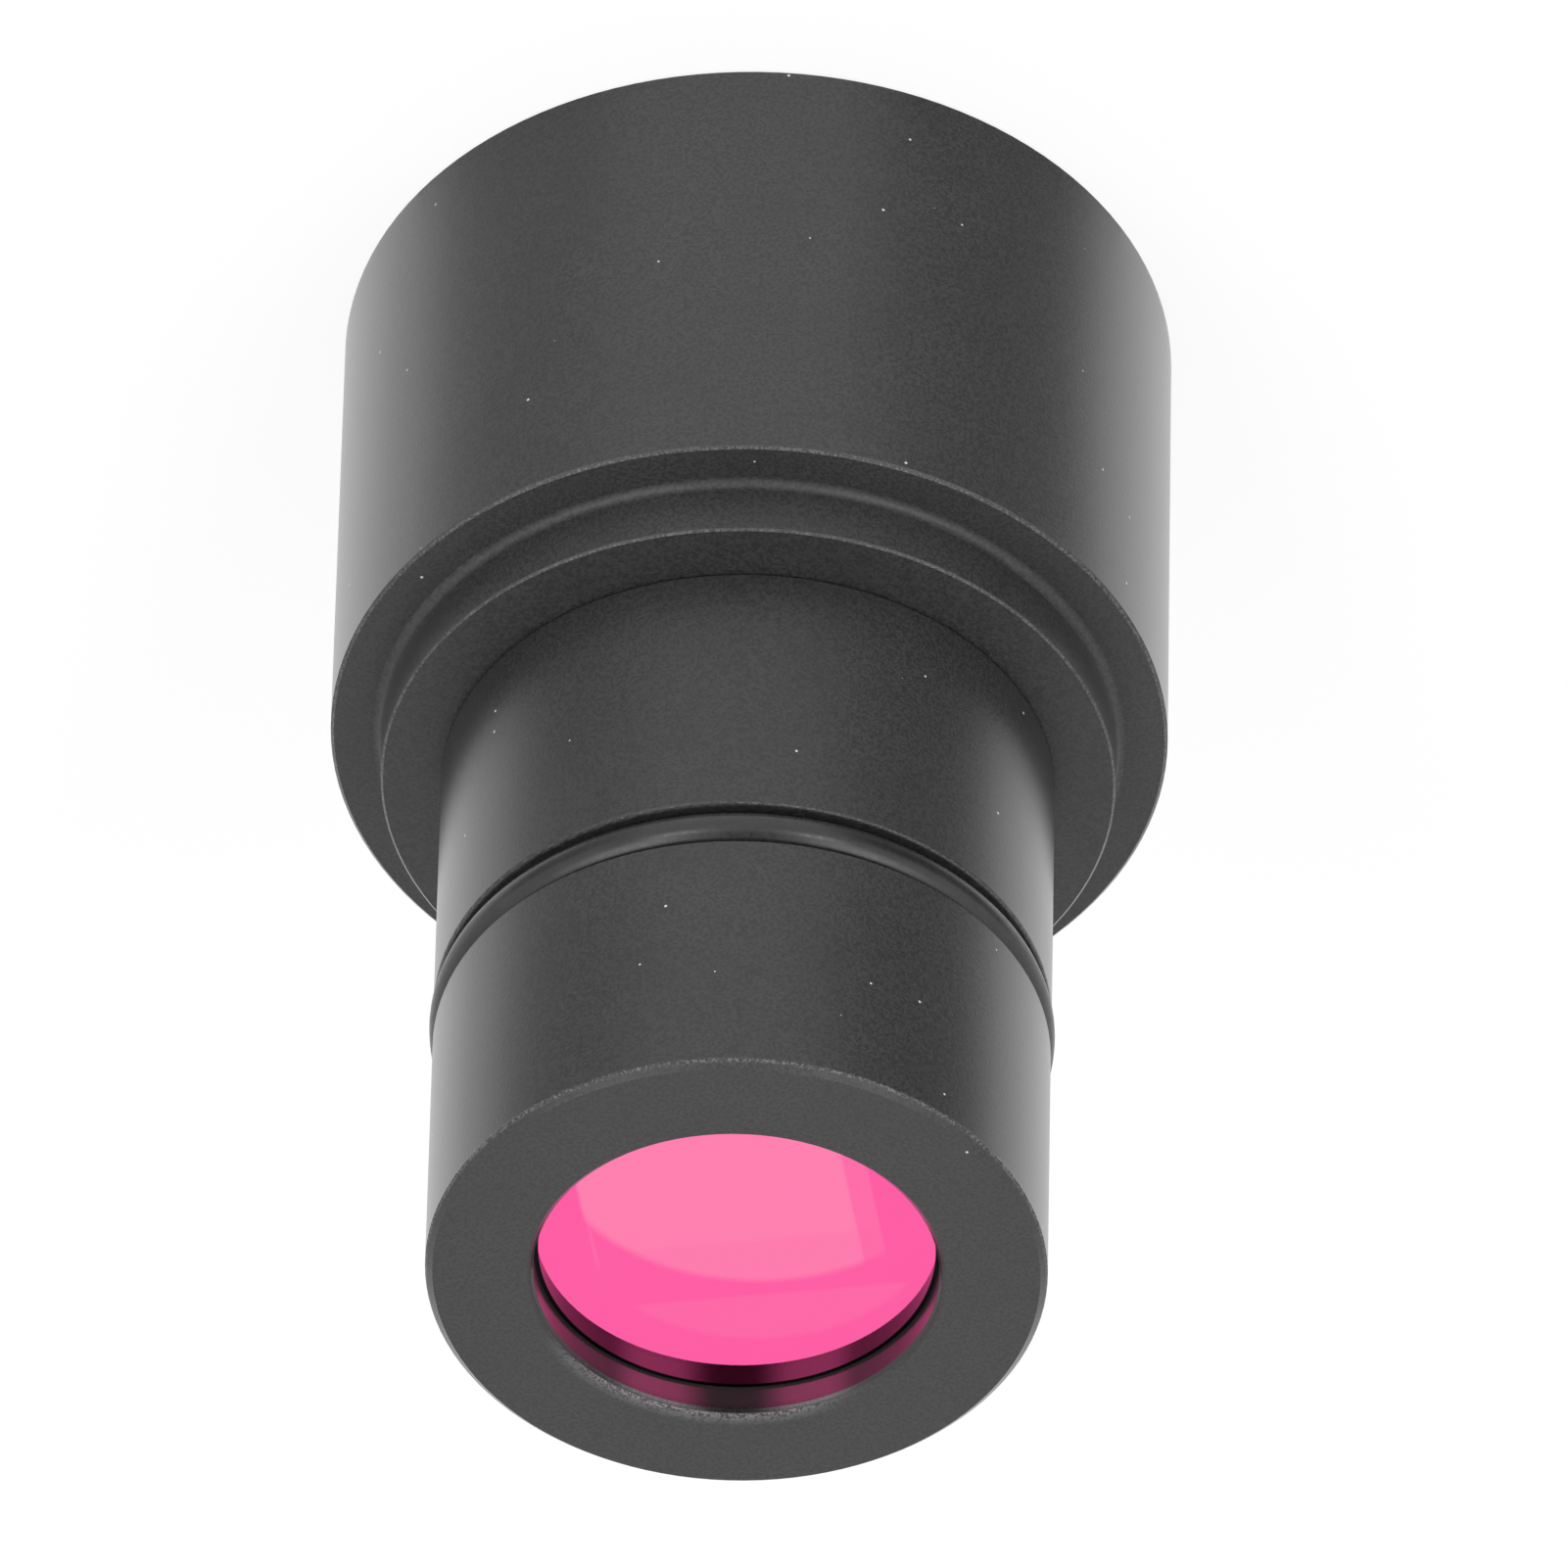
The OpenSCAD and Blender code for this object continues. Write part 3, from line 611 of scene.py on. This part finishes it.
def tent_world(camera_back):
    """An even white light tent, with a dark place round the camera and a soft lamp either side."""
    dark_outer, dark_inner, dark_level = 23, 17, 0.05
    lamp_azimuth, lamp_elevation = 43, 42
    lamp_outer, lamp_inner, lamp_level = 23, 4, 3.0

    world = bpy.data.worlds.new("tent")
    bpy.context.scene.world = world
    world.use_nodes = True
    tree = world.node_tree
    look = node(tree, "TexCoord").outputs["Generated"]

    def patch(towards, outer, inner, level_outside, level_inside):
        """A round patch of the sky, blending between its levels from outer to inner, in degrees."""
        cosine = node(tree, "VectorMath", {0: look, 1: tuple(towards)}, operation="DOT_PRODUCT")
        return ramp(tree, cosine.outputs["Value"], math.cos(math.radians(outer)),
                    math.cos(math.radians(inner)), level_outside, level_inside)

    sky = patch(camera_back, dark_outer, dark_inner, 1.0, dark_level)
    for azimuth in (-lamp_azimuth, lamp_azimuth):
        towards = direction(azimuth, lamp_elevation)
        sky = math_node(tree, "ADD", sky, patch(towards, lamp_outer, lamp_inner, 0.0, lamp_level))
    seen = node(tree, "LightPath").outputs["Is Camera Ray"]
    background = tree.nodes["Background"].inputs
    tree.links.new(mix_number(tree, seen, sky, 1.0), background["Strength"])
    background["Color"].default_value = grey(1)


def soft_box(name, azimuth):
    """A strip lamp aimed at the middle of the object, from an azimuth in degrees."""
    elevation, away = 19, 0.8
    width, height, power = 0.1, 0.2, 0.6

    lamp = bpy.data.lights.new(name, "AREA")
    lamp.shape = "RECTANGLE"
    lamp.size = width
    lamp.size_y = height
    lamp.energy = power
    holder = add_object(name, lamp)
    back = direction(azimuth, elevation)
    holder.location = (cad_box[0] + cad_box[1]) / 2 + back * away
    holder.rotation_euler = back.to_track_quat("Z", "Y").to_euler()


# The view looks down on the nose from -Y, turned upside down. Dip and roll are in degrees, the
# lens and the sensor in mm.
CAMERA_AT = Vector((-1.86, -1011.41, 993.69)) * MM
CAMERA_DIP = 43.6
CAMERA_ROLL = 181.3
CAMERA_LENS = 619.6
CAMERA_SENSOR = 36
CAMERA_CLIP = (0.05, 30)
LAMP_AZIMUTH = 23

camera_data = bpy.data.cameras.new("camera")
camera_data.lens = CAMERA_LENS
camera_data.sensor_width = CAMERA_SENSOR
camera_data.clip_start, camera_data.clip_end = CAMERA_CLIP
camera = add_object("camera", camera_data)
tilt = Matrix.Rotation(math.radians(90 - CAMERA_DIP), 4, "X")
roll = Matrix.Rotation(math.radians(CAMERA_ROLL), 4, "Z")
camera.matrix_world = Matrix.Translation(CAMERA_AT) @ tilt @ roll
bpy.context.scene.camera = camera

pale_floor()
tent_world(direction(0, CAMERA_DIP))
soft_box("left strip", LAMP_AZIMUTH)
soft_box("right strip", -LAMP_AZIMUTH)
# Painted shade in the walls' reflections: the dark card stands in for the object's own shadow on
# the floor, and the grey one darkens the reflection on the other side.
card("dark shade card", (-8, -25, -43, -60), near_shade=0.35, far_shade=0.0)
card("grey shade card", (12, 30, 42, 56), near_shade=0.6, far_shade=0.25)

bpy.context.scene.view_settings.view_transform = "Standard"

bpy.context.view_layer.update()
